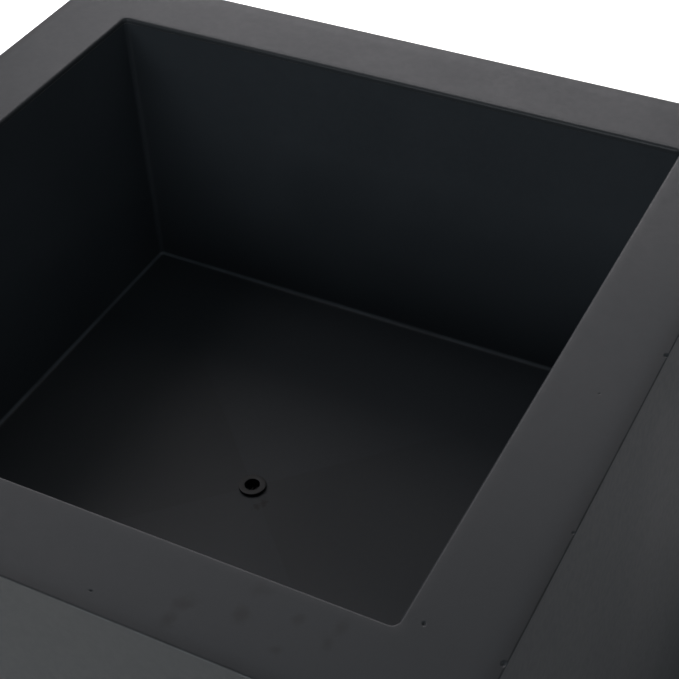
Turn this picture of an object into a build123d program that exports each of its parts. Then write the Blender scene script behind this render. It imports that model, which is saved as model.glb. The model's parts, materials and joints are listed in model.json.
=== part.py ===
"""Square fire pit, cast in charcoal lightweight concrete, as an assembly of separate pieces.

A one-piece outer shell (wide flat rim, and a skirt that spreads a little towards its foot)
carries a drafted firebox tub, which hangs in a rabbet under the rim's inner edge and rests on
two steel trestles. The tub's floor falls in four facets to a flanged drain bush. A welded
angle frame closes the foot of the skirt and stands on four levelling feet.

Millimetres, +Z up, origin on the ground under the middle of the pit, front towards -Y.
"""

import math
import os

from build123d import *

# Driving dimensions
WIDTH = 813.0            # outer side of the rim, 32 in
HEIGHT = 610.0           # ground to rim, 24 in
SPREAD = 37.0            # how far the skirt's foot stands out beyond the rim
RIM = 83.0               # rim's width, outer face to firebox wall
DEPTH = 308.0            # rim to the floor's edge
FLOOR = 594.0            # side of the floor, wall to wall
DISH = 3.0               # fall of the floor from its edge to the drain
SHELL_T = 12.0           # shell's wall and rim
TUB_T = 10.0             # tub's wall
FLOOR_T = 12.0           # tub's floor
SKIRT_GAP = 14.0         # ground to the skirt's lower edge

# Shell
OUTER_CORNER_R = 8.0     # vertical outer corners
ARRIS_R = 2.5            # rim's outer arris
LIP_R = 2.0              # eased inner lip of the rim
OPENING_CORNER_R = 5.5   # opening's corners in plan
HOLLOW_CORNER_R = 6.0    # vertical corners inside the skirt
RABBET_H = 6.0           # rabbet that takes the tub's flange
RABBET_W = 25.5          # rabbet's reach beyond the opening
JOINT_GAP = 0.5          # gap round the tub's flange

# Tub
COVE_R = 5.0             # cove between floor and walls
DRAIN_SEAT = 36.0        # side of the level square round the drain

# Mortar strip over the joint between flange and rim
MORTAR_W = 16.0
MORTAR_T = 3.0

# Base frame, of equal angle
ANGLE = 40.0
ANGLE_T = 3.0
FRAME_Z = 20.0           # underside of the frame's flat leg

# Trestles, of rectangular tube rails and channel posts
BAR_W = 40.0
BAR_H = 30.0
BAR_T = 2.0
TRESTLE_Y = 150.0        # trestle's centre line from the middle
TOP_RAIL = 560.0         # length of the upper rail
POST_X = 240.0
PAD_LENGTH = 80.0        # heat pads between the upper rails and the tub
PAD_X = 120.0
HEAT_PAD_T = 8.0

# Drain
BUSH_BORE_R = 7.9
BUSH_THREAD_R = 10.8
SPIGOT_R = 10.5
SPIGOT_LENGTH = 20.0
FLANGE_R = 14.5
FLANGE_T = 2.0
FLANGE_EDGE_R = 0.6
GASKET_T = 1.0
GASKET_R = 13.4
DRAIN_HOLE_R = 11.3
LOCKNUT_AF = 30.0
LOCKNUT_T = 8.0
DRAIN_WASHER_R = 19.0
DRAIN_WASHER_T = 2.0
STRAINER_DEPTH = 9.0     # bush's top to the strainer
STRAINER_T = 2.0
STRAINER_LEDGE = 1.2     # ledge in the bore that the strainer rests on
STRAINER_SLOT = 1.6
STRAINER_PITCH = 3.4

# Levelling feet
THREAD_R = 5.0           # M10
RUN_CLEARANCE = 0.05
FOOT_IN = 20.0           # foot's centre from the shell's inner face
PAD_R = 25.0
PAD_T = 8.0
SOLE_T = 2.0
SOCKET_R = 6.5
SOCKET_DEPTH = 5.5
HEX_GAP = 0.3            # running gap above the pad and below the frame
STUD_HEX_AF = 17.0
STUD_TOP = 26.0          # stud's length above the frame's underside
WELD_NUT_T = 8.0

# Small fasteners: shank radius, head's width across flats, head height, nut height
M8 = {"r": 3.9, "hole": 4.4, "af": 13.0, "head": 5.3, "nut": 6.8, "bore": 4.0}
SCREW_R = 2.95           # M6 screws that hold the frame to the skirt
SCREW_HEAD_R = 5.5
SCREW_HEAD_T = 3.5
SCREW_HOLE_R = 3.3
SCREW_LENGTH = 10.0
SCREW_X = 200.0          # screws either side of each wall's middle
INSERT_R = 3.95
INSERT_BORE_R = 3.0
INSERT_HOLE_R = 4.0
INSERT_LENGTH = 9.0

# Levels and half widths worked out from the above
HALF = WIDTH / 2
OPENING = HALF - RIM
SHELL_UNDER = HEIGHT - SHELL_T
SEAT_Z = HEIGHT - RABBET_H
FLOOR_Z = HEIGHT - DEPTH
DRAIN_Z = FLOOR_Z - DISH
FLOOR_HALF = FLOOR / 2
TUB_UNDER = FLOOR_Z - FLOOR_T
FRAME_TOP = FRAME_Z + ANGLE_T
LEG_TOP = FRAME_Z + ANGLE
SLOPE = SPREAD / (HEIGHT - SKIRT_GAP)
INSIDE = HALF + SLOPE * (HEIGHT - LEG_TOP) - SHELL_T
LOW_RAIL_TOP = FRAME_TOP + BAR_H
HIGH_RAIL_TOP = TUB_UNDER - HEAT_PAD_T
FLANGE_EDGE = OPENING + RABBET_W - JOINT_GAP
BUSH_TOP = DRAIN_Z + GASKET_T + FLANGE_T
BUSH_FOOT = DRAIN_Z - FLOOR_T - DRAIN_WASHER_T - LOCKNUT_T - 1.0 - SPIGOT_LENGTH
FOOT_AT = INSIDE - FOOT_IN
BOLT_X = INSIDE - ANGLE / 2
SCREW_Z = FRAME_Z + ANGLE * 0.55


def square(half, radius=0.0):
    """A square sketch with rounded corners, centred on the origin."""
    if radius:
        return RectangleRounded(2 * half, 2 * half, radius)
    return Rectangle(2 * half, 2 * half)


def prism(half, low, high, radius=0.0):
    """A square prism between two levels."""
    return extrude(Pos(0, 0, low) * square(half, radius), amount=high - low)


def frustum(low, high, low_half, high_half, low_r=0.0, high_r=0.0):
    """A solid that runs from one square at one level to another at a second level."""
    ends = [Pos(0, 0, low) * square(low_half, low_r), Pos(0, 0, high) * square(high_half, high_r)]
    return loft([end.faces()[0] for end in ends], ruled=True)


def rod(radius, low, high, x=0.0, y=0.0):
    """An upright cylinder between two levels."""
    return Pos(x, y, (low + high) / 2) * Cylinder(radius, high - low)


def hex_rod(across_flats, low, high, x=0.0, y=0.0):
    """An upright hexagonal bar between two levels."""
    outline = RegularPolygon(across_flats / 2, 6, major_radius=False)
    return extrude(Pos(x, y, low) * outline, amount=high - low)


def edges_at(solid, level):
    """The solid's edges that lie wholly in one horizontal plane."""
    return solid.edges().filter_by_position(Axis.Z, level - 0.01, level + 0.01)


def quarter_turns():
    """The four walls' places: turns about Z by 0, 90, 180 and 270 degrees."""
    return [Rot(0, 0, 90 * i) for i in range(4)]


def screw_places():
    """Each skirt screw's place, its own +Z pointing out through the wall."""
    return [
        turn * Pos(INSIDE, side * SCREW_X, SCREW_Z) * Rot(0, 90, 0)
        for turn in quarter_turns()
        for side in (-1, 1)
    ]


def outer_shell():
    """Skirt and rim in one casting, open underneath, with blind holes for the inserts."""
    body = frustum(SKIRT_GAP, HEIGHT, HALF + SPREAD, HALF, OUTER_CORNER_R, OUTER_CORNER_R)
    body = fillet(edges_at(body, HEIGHT), ARRIS_R)
    body -= prism(INSIDE, SKIRT_GAP, LEG_TOP, HOLLOW_CORNER_R)
    under_rim = INSIDE - SLOPE * (SHELL_UNDER - LEG_TOP)
    body -= frustum(LEG_TOP, SHELL_UNDER, INSIDE, under_rim, HOLLOW_CORNER_R, HOLLOW_CORNER_R)
    body -= prism(OPENING + RABBET_W, SHELL_UNDER, SEAT_Z, OPENING_CORNER_R)
    body -= prism(OPENING, SEAT_Z, HEIGHT, OPENING_CORNER_R)
    lip = [e for e in edges_at(body, HEIGHT) if max(abs(e.center().X), abs(e.center().Y)) < OPENING + 1]
    body = fillet(lip, LIP_R)
    for place in screw_places():
        body -= place * Pos(0, 0, INSERT_LENGTH / 2) * Cylinder(INSERT_HOLE_R, INSERT_LENGTH)
    return body


def firebox_tub():
    """Drafted tub with coved corners, a floor dished to the drain and a hanging flange."""
    seat = DRAIN_SEAT / 2
    cavity = frustum(FLOOR_Z, SEAT_Z, FLOOR_HALF, OPENING, OPENING_CORNER_R, OPENING_CORNER_R)
    cavity = fillet(edges_at(cavity, FLOOR_Z), COVE_R)
    dish = frustum(DRAIN_Z, FLOOR_Z, seat, FLOOR_HALF - COVE_R)
    outside_r = OPENING_CORNER_R + TUB_T
    body = frustum(TUB_UNDER, SEAT_Z, FLOOR_HALF + TUB_T, OPENING + TUB_T, outside_r, outside_r)
    body += frustum(DRAIN_Z - FLOOR_T, TUB_UNDER, seat + FLOOR_T, FLOOR_HALF - TUB_T)
    body += prism(FLANGE_EDGE, SHELL_UNDER, SEAT_Z, OPENING_CORNER_R)
    body -= cavity
    body -= dish
    return body - rod(DRAIN_HOLE_R, DRAIN_Z - 2 * FLOOR_T, FLOOR_Z)


def joint_mortar():
    """Mortar strip under the rim, over the joint between flange and rim."""
    joint = OPENING + RABBET_W
    low = SHELL_UNDER - MORTAR_T
    strip = prism(joint + MORTAR_W / 2, low, SHELL_UNDER, OPENING_CORNER_R)
    return strip - prism(joint - MORTAR_W / 2, low, SHELL_UNDER, OPENING_CORNER_R)


def base_frame():
    """Square ring of welded angle, drilled for feet, trestle bolts and skirt screws."""
    ring = prism(INSIDE, FRAME_Z, FRAME_Z + ANGLE, HOLLOW_CORNER_R)
    ring -= prism(INSIDE - ANGLE_T, FRAME_TOP, FRAME_Z + ANGLE, HOLLOW_CORNER_R - ANGLE_T)
    ring -= prism(INSIDE - ANGLE, FRAME_Z, FRAME_TOP)
    for x, y in foot_places().values():
        ring -= rod(THREAD_R + 0.5, FRAME_Z, FRAME_TOP, x, y)
    for x, y in bolt_places():
        ring -= rod(M8["hole"], FRAME_Z, FRAME_TOP, x, y)
    for place in screw_places():
        ring -= place * Cylinder(SCREW_HOLE_R, 4 * ANGLE_T)
    return ring


def tube(length):
    """A length of rectangular tube along X, centred on the origin."""
    return Box(length, BAR_W, BAR_H) - Box(length, BAR_W - 2 * BAR_T, BAR_H - 2 * BAR_T)


def trestle(side):
    """Welded trestle in front (-1) or behind (1) of the drain: two tube rails and two channel posts."""
    y = side * TRESTLE_Y
    body = Pos(0, y, FRAME_TOP + BAR_H / 2) * tube(2 * (INSIDE - ANGLE_T - 0.5))
    for x, bolt_y in bolt_places():
        body -= rod(M8["hole"], FRAME_TOP, LOW_RAIL_TOP, x, bolt_y)
    height = HIGH_RAIL_TOP - BAR_H - LOW_RAIL_TOP
    for post in (-1, 1):
        blank = Box(ANGLE, ANGLE, height)
        hollow = Pos(-post * ANGLE_T, 0, 0) * Box(ANGLE, ANGLE - 2 * ANGLE_T, height)
        body += Pos(post * POST_X, y, LOW_RAIL_TOP + height / 2) * (blank - hollow)
    return body + Pos(0, y, HIGH_RAIL_TOP - BAR_H / 2) * tube(TOP_RAIL)


def heat_pads(tub):
    """Four ceramic-fibre pads, pressed between the trestles and the tub's sloping floor."""
    pads = []
    for x in (-PAD_X, PAD_X):
        for y in (-TRESTLE_Y, TRESTLE_Y):
            blank = Pos(x, y, HIGH_RAIL_TOP + HEAT_PAD_T / 2) * Box(PAD_LENGTH, BAR_W, HEAT_PAD_T)
            pads.append(blank - tub)
    return group(pads)


def bolt_places():
    """Centres of the four bolts through the ends of the trestles' lower rails."""
    return [(x, y) for x in (-BOLT_X, BOLT_X) for y in (-TRESTLE_Y, TRESTLE_Y)]


def foot_places():
    """Centres of the four levelling feet, by name."""
    return {
        "front_left": (-FOOT_AT, -FOOT_AT),
        "front_right": (FOOT_AT, -FOOT_AT),
        "back_left": (-FOOT_AT, FOOT_AT),
        "back_right": (FOOT_AT, FOOT_AT),
    }


def group(solids):
    """Identical small pieces as one node of separate solids."""
    return Compound(children=[part.solids()[0] for part in solids])


def trestle_bolts():
    """Hexagon bolts up through the frame and the trestles' lower rails."""
    top = LOW_RAIL_TOP + M8["nut"] + 3
    return group(
        hex_rod(M8["af"], FRAME_Z - M8["head"], FRAME_Z, x, y) + rod(M8["r"], FRAME_Z, top, x, y)
        for x, y in bolt_places()
    )


def trestle_nuts():
    """Hexagon nuts on top of the trestles' lower rails."""
    top = LOW_RAIL_TOP + M8["nut"]
    return group(
        hex_rod(M8["af"], LOW_RAIL_TOP, top, x, y) - rod(M8["bore"], LOW_RAIL_TOP, top, x, y)
        for x, y in bolt_places()
    )


def skirt_inserts():
    """Threaded inserts cast into the skirt."""
    blank = Cylinder(INSERT_R, INSERT_LENGTH) - Cylinder(INSERT_BORE_R, INSERT_LENGTH)
    return group(place * Pos(0, 0, INSERT_LENGTH / 2) * blank for place in screw_places())


def skirt_screws():
    """Pan-head screws from inside the frame into the inserts."""
    shank = Pos(0, 0, SCREW_LENGTH / 2 - ANGLE_T) * Cylinder(SCREW_R, SCREW_LENGTH)
    head = Pos(0, 0, -ANGLE_T - SCREW_HEAD_T / 2) * Cylinder(SCREW_HEAD_R, SCREW_HEAD_T)
    head = fillet(head.edges().filter_by(GeomType.CIRCLE).sort_by(Axis.Z)[0], SCREW_HEAD_T * 0.4)
    return group(place * (shank + head) for place in screw_places())


def drain_bush():
    """Flanged bush: flange above the floor, thread through it, plain spigot below."""
    flange = rod(FLANGE_R, DRAIN_Z + GASKET_T, BUSH_TOP)
    flange = fillet(edges_at(flange, BUSH_TOP), FLANGE_EDGE_R)
    bush = flange + rod(BUSH_THREAD_R, BUSH_FOOT + SPIGOT_LENGTH, DRAIN_Z + GASKET_T)
    bush += rod(SPIGOT_R, BUSH_FOOT, BUSH_FOOT + SPIGOT_LENGTH)
    ledge_z = BUSH_TOP - STRAINER_DEPTH - STRAINER_T
    bush -= rod(BUSH_BORE_R, ledge_z, BUSH_TOP)
    return bush - rod(BUSH_BORE_R - STRAINER_LEDGE, BUSH_FOOT, ledge_z)


def drain_gasket():
    """Rubber ring under the bush's flange."""
    outer = rod(GASKET_R, DRAIN_Z, DRAIN_Z + GASKET_T)
    return outer - rod(BUSH_THREAD_R + 0.2, DRAIN_Z, DRAIN_Z + GASKET_T)


def drain_strainer():
    """Slotted disc that keeps embers and ash out of the drain."""
    low = BUSH_TOP - STRAINER_DEPTH - STRAINER_T
    disc = rod(BUSH_BORE_R - RUN_CLEARANCE, low, low + STRAINER_T)
    for i in (-1, 0, 1):
        x = i * STRAINER_PITCH
        length = 2 * math.sqrt((BUSH_BORE_R - 2 * STRAINER_LEDGE) ** 2 - x * x)
        slot = SlotOverall(length, STRAINER_SLOT, rotation=90)
        disc -= extrude(Pos(x, 0, low) * slot, amount=STRAINER_T)
    return disc


def drain_washer():
    """Steel washer under the tub's floor."""
    high = DRAIN_Z - FLOOR_T
    outer = rod(DRAIN_WASHER_R, high - DRAIN_WASHER_T, high)
    return outer - rod(BUSH_THREAD_R + 0.3, high - DRAIN_WASHER_T, high)


def drain_locknut():
    """Hexagon lock nut that draws the flange down on its gasket."""
    high = DRAIN_Z - FLOOR_T - DRAIN_WASHER_T
    return hex_rod(LOCKNUT_AF, high - LOCKNUT_T, high) - rod(
        BUSH_THREAD_R + RUN_CLEARANCE, high - LOCKNUT_T, high
    )


def foot_weld_nuts():
    """Weld nuts on the frame that the levelling studs screw through."""
    top = FRAME_TOP + WELD_NUT_T
    return group(
        hex_rod(STUD_HEX_AF, FRAME_TOP, top, x, y) - rod(THREAD_R, FRAME_TOP, top, x, y)
        for x, y in foot_places().values()
    )


def foot_stud(x, y):
    """Levelling stud: round toe in the pad's socket, hexagon to turn it by, threaded shank."""
    pad_top = SOLE_T + PAD_T
    toe = rod(SOCKET_R - 2 * RUN_CLEARANCE, pad_top - SOCKET_DEPTH + HEX_GAP, pad_top + HEX_GAP, x, y)
    grip = hex_rod(STUD_HEX_AF, pad_top + HEX_GAP, FRAME_Z - HEX_GAP, x, y)
    shank = rod(THREAD_R - RUN_CLEARANCE, FRAME_Z - HEX_GAP, FRAME_Z + STUD_TOP, x, y)
    return toe + grip + chamfer(edges_at(shank, FRAME_Z + STUD_TOP), 1.0)


def foot_pad(x, y):
    """Nylon glide with a domed top and a blind socket for the stud's toe."""
    top = SOLE_T + PAD_T
    disc = rod(PAD_R, SOLE_T, top, x, y)
    disc = chamfer(edges_at(disc, top), PAD_T * 0.4, PAD_T)
    return disc - rod(SOCKET_R, top - SOCKET_DEPTH, top, x, y)


def foot_sole(x, y):
    """Rubber disc under the glide."""
    disc = rod(PAD_R - 1.5, 0, SOLE_T, x, y)
    return fillet(edges_at(disc, 0), 0.6)


def build():
    """Every node by name."""
    tub = firebox_tub()
    nodes = {
        "outer_shell": outer_shell(),
        "firebox_tub": tub,
        "joint_mortar": joint_mortar(),
        "base_frame": base_frame(),
        "trestle_front": trestle(-1),
        "trestle_back": trestle(1),
        "heat_pads": heat_pads(tub),
        "trestle_bolts": trestle_bolts(),
        "trestle_nuts": trestle_nuts(),
        "skirt_inserts": skirt_inserts(),
        "skirt_screws": skirt_screws(),
        "drain_bush": drain_bush(),
        "drain_gasket": drain_gasket(),
        "drain_strainer": drain_strainer(),
        "drain_washer": drain_washer(),
        "drain_locknut": drain_locknut(),
        "foot_weld_nuts": foot_weld_nuts(),
    }
    for name, (x, y) in foot_places().items():
        nodes[f"foot_stud_{name}"] = foot_stud(x, y)
        nodes[f"foot_pad_{name}"] = foot_pad(x, y)
        nodes[f"foot_sole_{name}"] = foot_sole(x, y)
    return nodes


os.makedirs("parts", exist_ok=True)
for node, shape in build().items():
    export_step(shape, f"parts/{node}.step")
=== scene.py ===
"""Looks, light and camera for the square cast fire pit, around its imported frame. Metres, +Z up."""

import json
import math

import bmesh
import bpy
import numpy as np
from mathutils import Euler, Matrix, Vector, noise

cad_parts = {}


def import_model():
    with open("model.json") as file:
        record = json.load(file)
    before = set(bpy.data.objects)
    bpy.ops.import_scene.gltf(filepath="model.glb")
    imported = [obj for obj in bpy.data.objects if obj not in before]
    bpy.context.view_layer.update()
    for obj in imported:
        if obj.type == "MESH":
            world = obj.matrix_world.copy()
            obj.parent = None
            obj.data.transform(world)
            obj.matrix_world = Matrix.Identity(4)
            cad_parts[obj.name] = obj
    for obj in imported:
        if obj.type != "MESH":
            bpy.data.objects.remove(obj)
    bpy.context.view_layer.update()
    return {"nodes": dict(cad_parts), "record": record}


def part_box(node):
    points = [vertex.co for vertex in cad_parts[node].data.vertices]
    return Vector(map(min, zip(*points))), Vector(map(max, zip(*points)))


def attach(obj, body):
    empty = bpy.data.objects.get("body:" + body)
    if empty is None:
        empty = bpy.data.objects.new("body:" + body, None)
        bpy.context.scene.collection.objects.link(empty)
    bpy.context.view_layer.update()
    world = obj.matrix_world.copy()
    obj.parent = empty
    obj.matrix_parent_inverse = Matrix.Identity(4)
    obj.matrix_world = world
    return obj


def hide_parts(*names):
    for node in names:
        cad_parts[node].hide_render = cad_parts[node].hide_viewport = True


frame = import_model()

MM = 0.001

# Castings, as the frame has them
WIDTH = 813 * MM              # outer side of the rim
RIM = 83 * MM                 # rim's width, outer face to firebox wall
RIM_UNDER = 12 * MM           # rim's thickness
SKIRT_T = 12 * MM
OUTER_CORNER_R = 8 * MM
HOLLOW_CORNER_R = 6 * MM
BAND_TOP = 60 * MM            # top of the upright band inside the skirt's foot
OPENING_R = 5.5 * MM          # vertical corners of the firebox
RABBET_H = 6 * MM
RABBET_W = 25.5 * MM
TUB_T = 10 * MM
FLOOR_T = 12 * MM
FIREBOX_DEPTH = 308 * MM
FLOOR_HALF = 297 * MM
COVE_R = 5 * MM
FLANGE_GAP = 0.5 * MM
DISH = 3 * MM
SEAT_HALF = 18 * MM
DRAIN_HOLE_R = 11.3 * MM

# The shell's edges, finished otherwise than in the frame
ARRIS_R = 1.2 * MM
LIP_R = 3.2 * MM
FOOT_EASE = 1.5 * MM          # rounding of the skirt's lower edge

# Steelwork and feet, as the frame has them
ANGLE_T = 3 * MM
ANGLE_LEG = 40 * MM
BAR_W = 40 * MM               # the trestles' rails
BAR_H = 30 * MM
POST_X = 240 * MM
SCREW_X = 200 * MM
SCREW_Z = 42 * MM
BUSH_BORE_R = 7.9 * MM
BUSH_THREAD_R = 10.8 * MM
SPIGOT_R = 10.5 * MM
SPIGOT_LENGTH = 20 * MM
FLANGE_T = 2 * MM
FLANGE_EDGE_R = 0.6 * MM
STRAINER_LEDGE_Z = 11 * MM    # bush's top to the strainer's ledge
STRAINER_LEDGE = 1.2 * MM
LOCKNUT_AF = 30 * MM
STUD_AF = 17 * MM
STUD_R = 4.95 * MM
STUD_SHANK = 26.3 * MM        # above the stud's hexagon
SOCKET_R = 6.5 * MM           # pad's socket, which takes the stud's toe
SOCKET_DEPTH = 5.5 * MM
M8_AF = 13 * MM
M8_R = 3.9 * MM
M8_HEAD = 5.3 * MM
SCREW_R = 2.95 * MM
SCREW_HEAD_R = 5.5 * MM
SCREW_HEAD_T = 3.5 * MM
SCREW_LENGTH = 10 * MM
CORNERS = ("front_left", "front_right", "back_left", "back_right")

# Threads, chamfers and welds, which the frame leaves out
M8_PITCH = 1.25 * MM
FINE_PITCH = 1.5 * MM         # bush and studs
THREAD_DEPTH = 0.61           # of the pitch
THREAD_FLAT = 0.12            # width of crest and of root, of the pitch
HEX_CHAMFER_H = 0.055         # of the width across flats
HEX_CHAMFER_R = (0.485, 0.58) # least and greatest radius, of the width across flats
BEAD_R = 2 * MM

# How finely things are meshed
SOLE_MIDDLE_R = 4 * MM        # one flat face in the middle of pad and sole
SIDE_POINTS = 110
CORNER_POINTS = 8
STEP = 6 * MM
AROUND = 72                   # points round a bar, a multiple of 6 so that hexagons have sharp corners

# Hand finishing: the rim's rolled margin, and depth and wavelength of the surfaces' unevenness
ROLL_WIDTH = 22 * MM
ROLL_OFF = 0.7 * MM
ROLL_POINTS = 8
ROLL_WIDENING = 0.3           # corner radius gained per metre inwards
WAVE = 0.25 * MM
WAVE_LENGTH = 170 * MM
RIPPLE = 0.03 * MM
RIPPLE_LENGTH = 34 * MM

SHELL_LOW, SHELL_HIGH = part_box("outer_shell")
TOP = SHELL_HIGH.z
SKIRT_FOOT = SHELL_LOW.z
FOOT_HALF = SHELL_HIGH.x
HALF = WIDTH / 2
SLOPE = (FOOT_HALF - HALF) / (TOP - SKIRT_FOOT)
OPENING = HALF - RIM
SEAT_Z = TOP - RABBET_H
FLOOR_Z = TOP - FIREBOX_DEPTH
DRAIN_Z = FLOOR_Z - DISH

# Charcoal coating, outside and in the firebox; the firebox's copy is made bluer, the cool cast of the shade
# in the firebox painted into its colour
COATING = (0.0365, 0.0427, 0.0480)
FIREBOX_SHADE_TINTED_COATING = (0.0343, 0.0427, 0.0508)

# Smears on the front rim, as from, to and radius, and ash beside the drain, as x, y and radius
HAND_MARKS = [
    ((0.1790, -0.3690), (0.1770, -0.3760), 10 * MM),
    ((0.1760, -0.3830), (0.1740, -0.3930), 9 * MM),
    ((0.2190, -0.3590), (0.2215, -0.3650), 8 * MM),
    ((0.2180, -0.3385), (0.2290, -0.3350), 8 * MM),
    ((0.2560, -0.3490), (0.2600, -0.3480), 7 * MM),
    ((0.2550, -0.3800), (0.2590, -0.3775), 6 * MM),
    ((0.2880, -0.3620), (0.2875, -0.3550), 8 * MM),
    ((0.2890, -0.3450), (0.2900, -0.3380), 8 * MM),
]
ASH_SPECKS = [(0.0222, -0.0154, 5.5 * MM), (0.0184, -0.0234, 6 * MM), (0.0240, -0.0190, 3 * MM)]


# ---------------------------------------------------------------- mesh helpers

def new_object(name, vertices, faces, smooth_angle=35):
    """A mesh object, smooth except across edges sharper than smooth_angle degrees."""
    mesh = bpy.data.meshes.new(name)
    mesh.from_pydata([tuple(v) for v in vertices], [], faces)
    mesh.validate()
    turn_outwards(mesh)
    mesh.shade_smooth()
    mesh.set_sharp_from_angle(angle=math.radians(smooth_angle))
    piece = bpy.data.objects.new(name, mesh)
    bpy.context.scene.collection.objects.link(piece)
    return piece


def turn_outwards(mesh):
    """Makes all faces of closed skins point outwards."""
    work = bmesh.new()
    work.from_mesh(mesh)
    bmesh.ops.recalc_face_normals(work, faces=work.faces)
    work.to_mesh(mesh)
    work.free()


def arc(centre, radius, start, end, steps):
    """Profile points on an arc, angles in degrees, as (distance out, height)."""
    angles = np.radians(np.linspace(start, end, steps + 1))
    return [(centre[0] + radius * math.cos(a), centre[1] + radius * math.sin(a)) for a in angles]


def rounded_square(half, radius, height):
    """One ring of points round a square with rounded corners."""
    straight = half - radius
    local = [(half, straight * t) for t in np.linspace(-1, 1, SIDE_POINTS, endpoint=False)]
    for i in range(CORNER_POINTS):
        a = i / CORNER_POINTS * math.pi / 2
        local.append((straight + radius * math.cos(a), straight + radius * math.sin(a)))
    ring = []
    for quarter in range(4):
        c, s = round(math.cos(quarter * math.pi / 2)), round(math.sin(quarter * math.pi / 2))
        ring += [(x * c - y * s, x * s + y * c, height) for x, y in local]
    return ring


def circle_like(ring, radius, height):
    """A circle with one point at the same angle as each point of a ring."""
    return [(x / math.hypot(x, y) * radius, y / math.hypot(x, y) * radius, height) for x, y, _ in ring]


def between(a, b, step):
    """Tuples of numbers from a towards b, b left out, at about the given step."""
    span = math.hypot(b[0] - a[0], b[-1] - a[-1])
    count = max(1, round(span / step))
    return [tuple(p + (q - p) * i / count for p, q in zip(a, b)) for i in range(count)]


def skin(rings, closed):
    """Vertices and faces through rings of equal length, closed on itself or with its ends capped."""
    size = len(rings[0])
    faces = []
    for i in range(len(rings) if closed else len(rings) - 1):
        here, there = i * size, (i + 1) % len(rings) * size
        for j in range(size):
            k = (j + 1) % size
            faces.append((here + j, here + k, there + k, there + j))
    if not closed:
        last = (len(rings) - 1) * size
        faces.append(tuple(range(size)))
        faces.append(tuple(range(last, last + size)))
    return [p for ring in rings for p in ring], faces


def placed(part, matrix):
    """A (vertices, faces) part moved by a matrix."""
    vertices, faces = part
    return [matrix @ Vector(v) for v in vertices], faces


def joined(name, parts, smooth_angle=35):
    """One object of several (vertices, faces) parts."""
    vertices, faces = [], []
    for part_vertices, part_faces in parts:
        faces += [tuple(i + len(vertices) for i in face) for face in part_faces]
        vertices += list(part_vertices)
    return new_object(name, vertices, faces, smooth_angle)


def drift(points, wavelength, seed):
    """Smooth noise, about -1 to 1, at each point."""
    shift = Vector((seed * 7.31, seed * 3.17, seed * 5.93))
    return np.array([noise.noise(Vector(p) / wavelength + shift) for p in points])


def coordinates(piece):
    """The mesh's points as an array."""
    flat = np.zeros(len(piece.data.vertices) * 3)
    piece.data.vertices.foreach_get("co", flat)
    return flat.reshape(-1, 3)


def set_coordinates(piece, points):
    """Writes an array of points back to the mesh."""
    piece.data.vertices.foreach_set("co", points.ravel())
    piece.data.update()


def point_normals(piece):
    """The mesh's point normals as an array."""
    flat = np.zeros(len(piece.data.vertices) * 3)
    piece.data.vertex_normals.foreach_get("vector", flat)
    return flat.reshape(-1, 3)


# ---------------------------------------------------------------- castings

def skirt_half(height):
    """The skirt's outer half width at a height."""
    return HALF + SLOPE * (TOP - height)


def shell_face_profile():
    """Shell's finished face, foot to firebox, as (half width, corner radius, height)."""
    foot = (FOOT_HALF - FOOT_EASE, OUTER_CORNER_R - FOOT_EASE, SKIRT_FOOT)
    eased = (skirt_half(SKIRT_FOOT + FOOT_EASE), OUTER_CORNER_R, SKIRT_FOOT + FOOT_EASE)
    arris_low = TOP - ROLL_OFF - ARRIS_R
    section = between(foot, eased, STEP)
    section += between(eased, (skirt_half(arris_low), OUTER_CORNER_R, arris_low), STEP)
    for out, up in arc((skirt_half(arris_low) - ARRIS_R, arris_low), ARRIS_R, 0, 90, 5):
        section.append((out, OUTER_CORNER_R + out - HALF, up))
    section += rolled_margin(section[-1])
    section += between(section[-1], (OPENING + LIP_R, OPENING_R + LIP_R, TOP), STEP)[1:]
    for out, up in arc((OPENING + LIP_R, TOP - LIP_R), LIP_R, 90, 180, 8):
        section.append((out, OPENING_R + out - OPENING, up))
    return section


def rolled_margin(edge):
    """Profile points of the rim's margin, which polishing rolls off towards the arris."""
    points = []
    for t in np.linspace(0, 1, ROLL_POINTS + 1)[1:]:
        inward = ROLL_WIDTH * t
        rise = ROLL_OFF * (1 - (1 - t) ** 2)
        points.append((edge[0] - inward, edge[1] + ROLL_WIDENING * inward, edge[2] + rise))
    return points


def shell_back_profile():
    """Shell's raw back: rabbet, underside of the rim and inside of the skirt, down to its foot."""
    rabbet = OPENING + RABBET_W
    under_rim = skirt_half(TOP - RIM_UNDER) - SKIRT_T
    band = skirt_half(BAND_TOP) - SKIRT_T
    path = [
        (OPENING, OPENING_R, SEAT_Z),
        (rabbet, OPENING_R, SEAT_Z),
        (rabbet, OPENING_R, TOP - RIM_UNDER),
        (under_rim, HOLLOW_CORNER_R, TOP - RIM_UNDER),
        (band, HOLLOW_CORNER_R, BAND_TOP),
        (band, HOLLOW_CORNER_R, SKIRT_FOOT),
        (FOOT_HALF - FOOT_EASE, OUTER_CORNER_R - FOOT_EASE, SKIRT_FOOT),
    ]
    return [point for a, b in zip(path, path[1:]) for point in between(a, b, 4 * STEP)]


def tub_face_profile():
    """Tub's finished face from the flange down to the drain seat, as (half width, corner radius, height)."""
    lean = math.atan2(OPENING - FLOOR_HALF, SEAT_Z - FLOOR_Z)
    reach = COVE_R * math.tan((math.pi / 2 - lean) / 2)
    centre = (FLOOR_HALF - reach, FLOOR_Z + COVE_R)
    wall_foot = (centre[0] + COVE_R * math.cos(lean), OPENING_R, centre[1] - COVE_R * math.sin(lean))
    section = between((OPENING, OPENING_R, SEAT_Z), wall_foot, STEP)
    for out, up in arc(centre, COVE_R, -math.degrees(lean), -90, 8):
        section.append((out, OPENING_R - (wall_foot[0] - out), up))
    seat = (SEAT_HALF, 1.5 * MM, DRAIN_Z)
    return section + between((centre[0], 2 * MM, FLOOR_Z), seat, STEP)[1:] + [seat]


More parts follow.
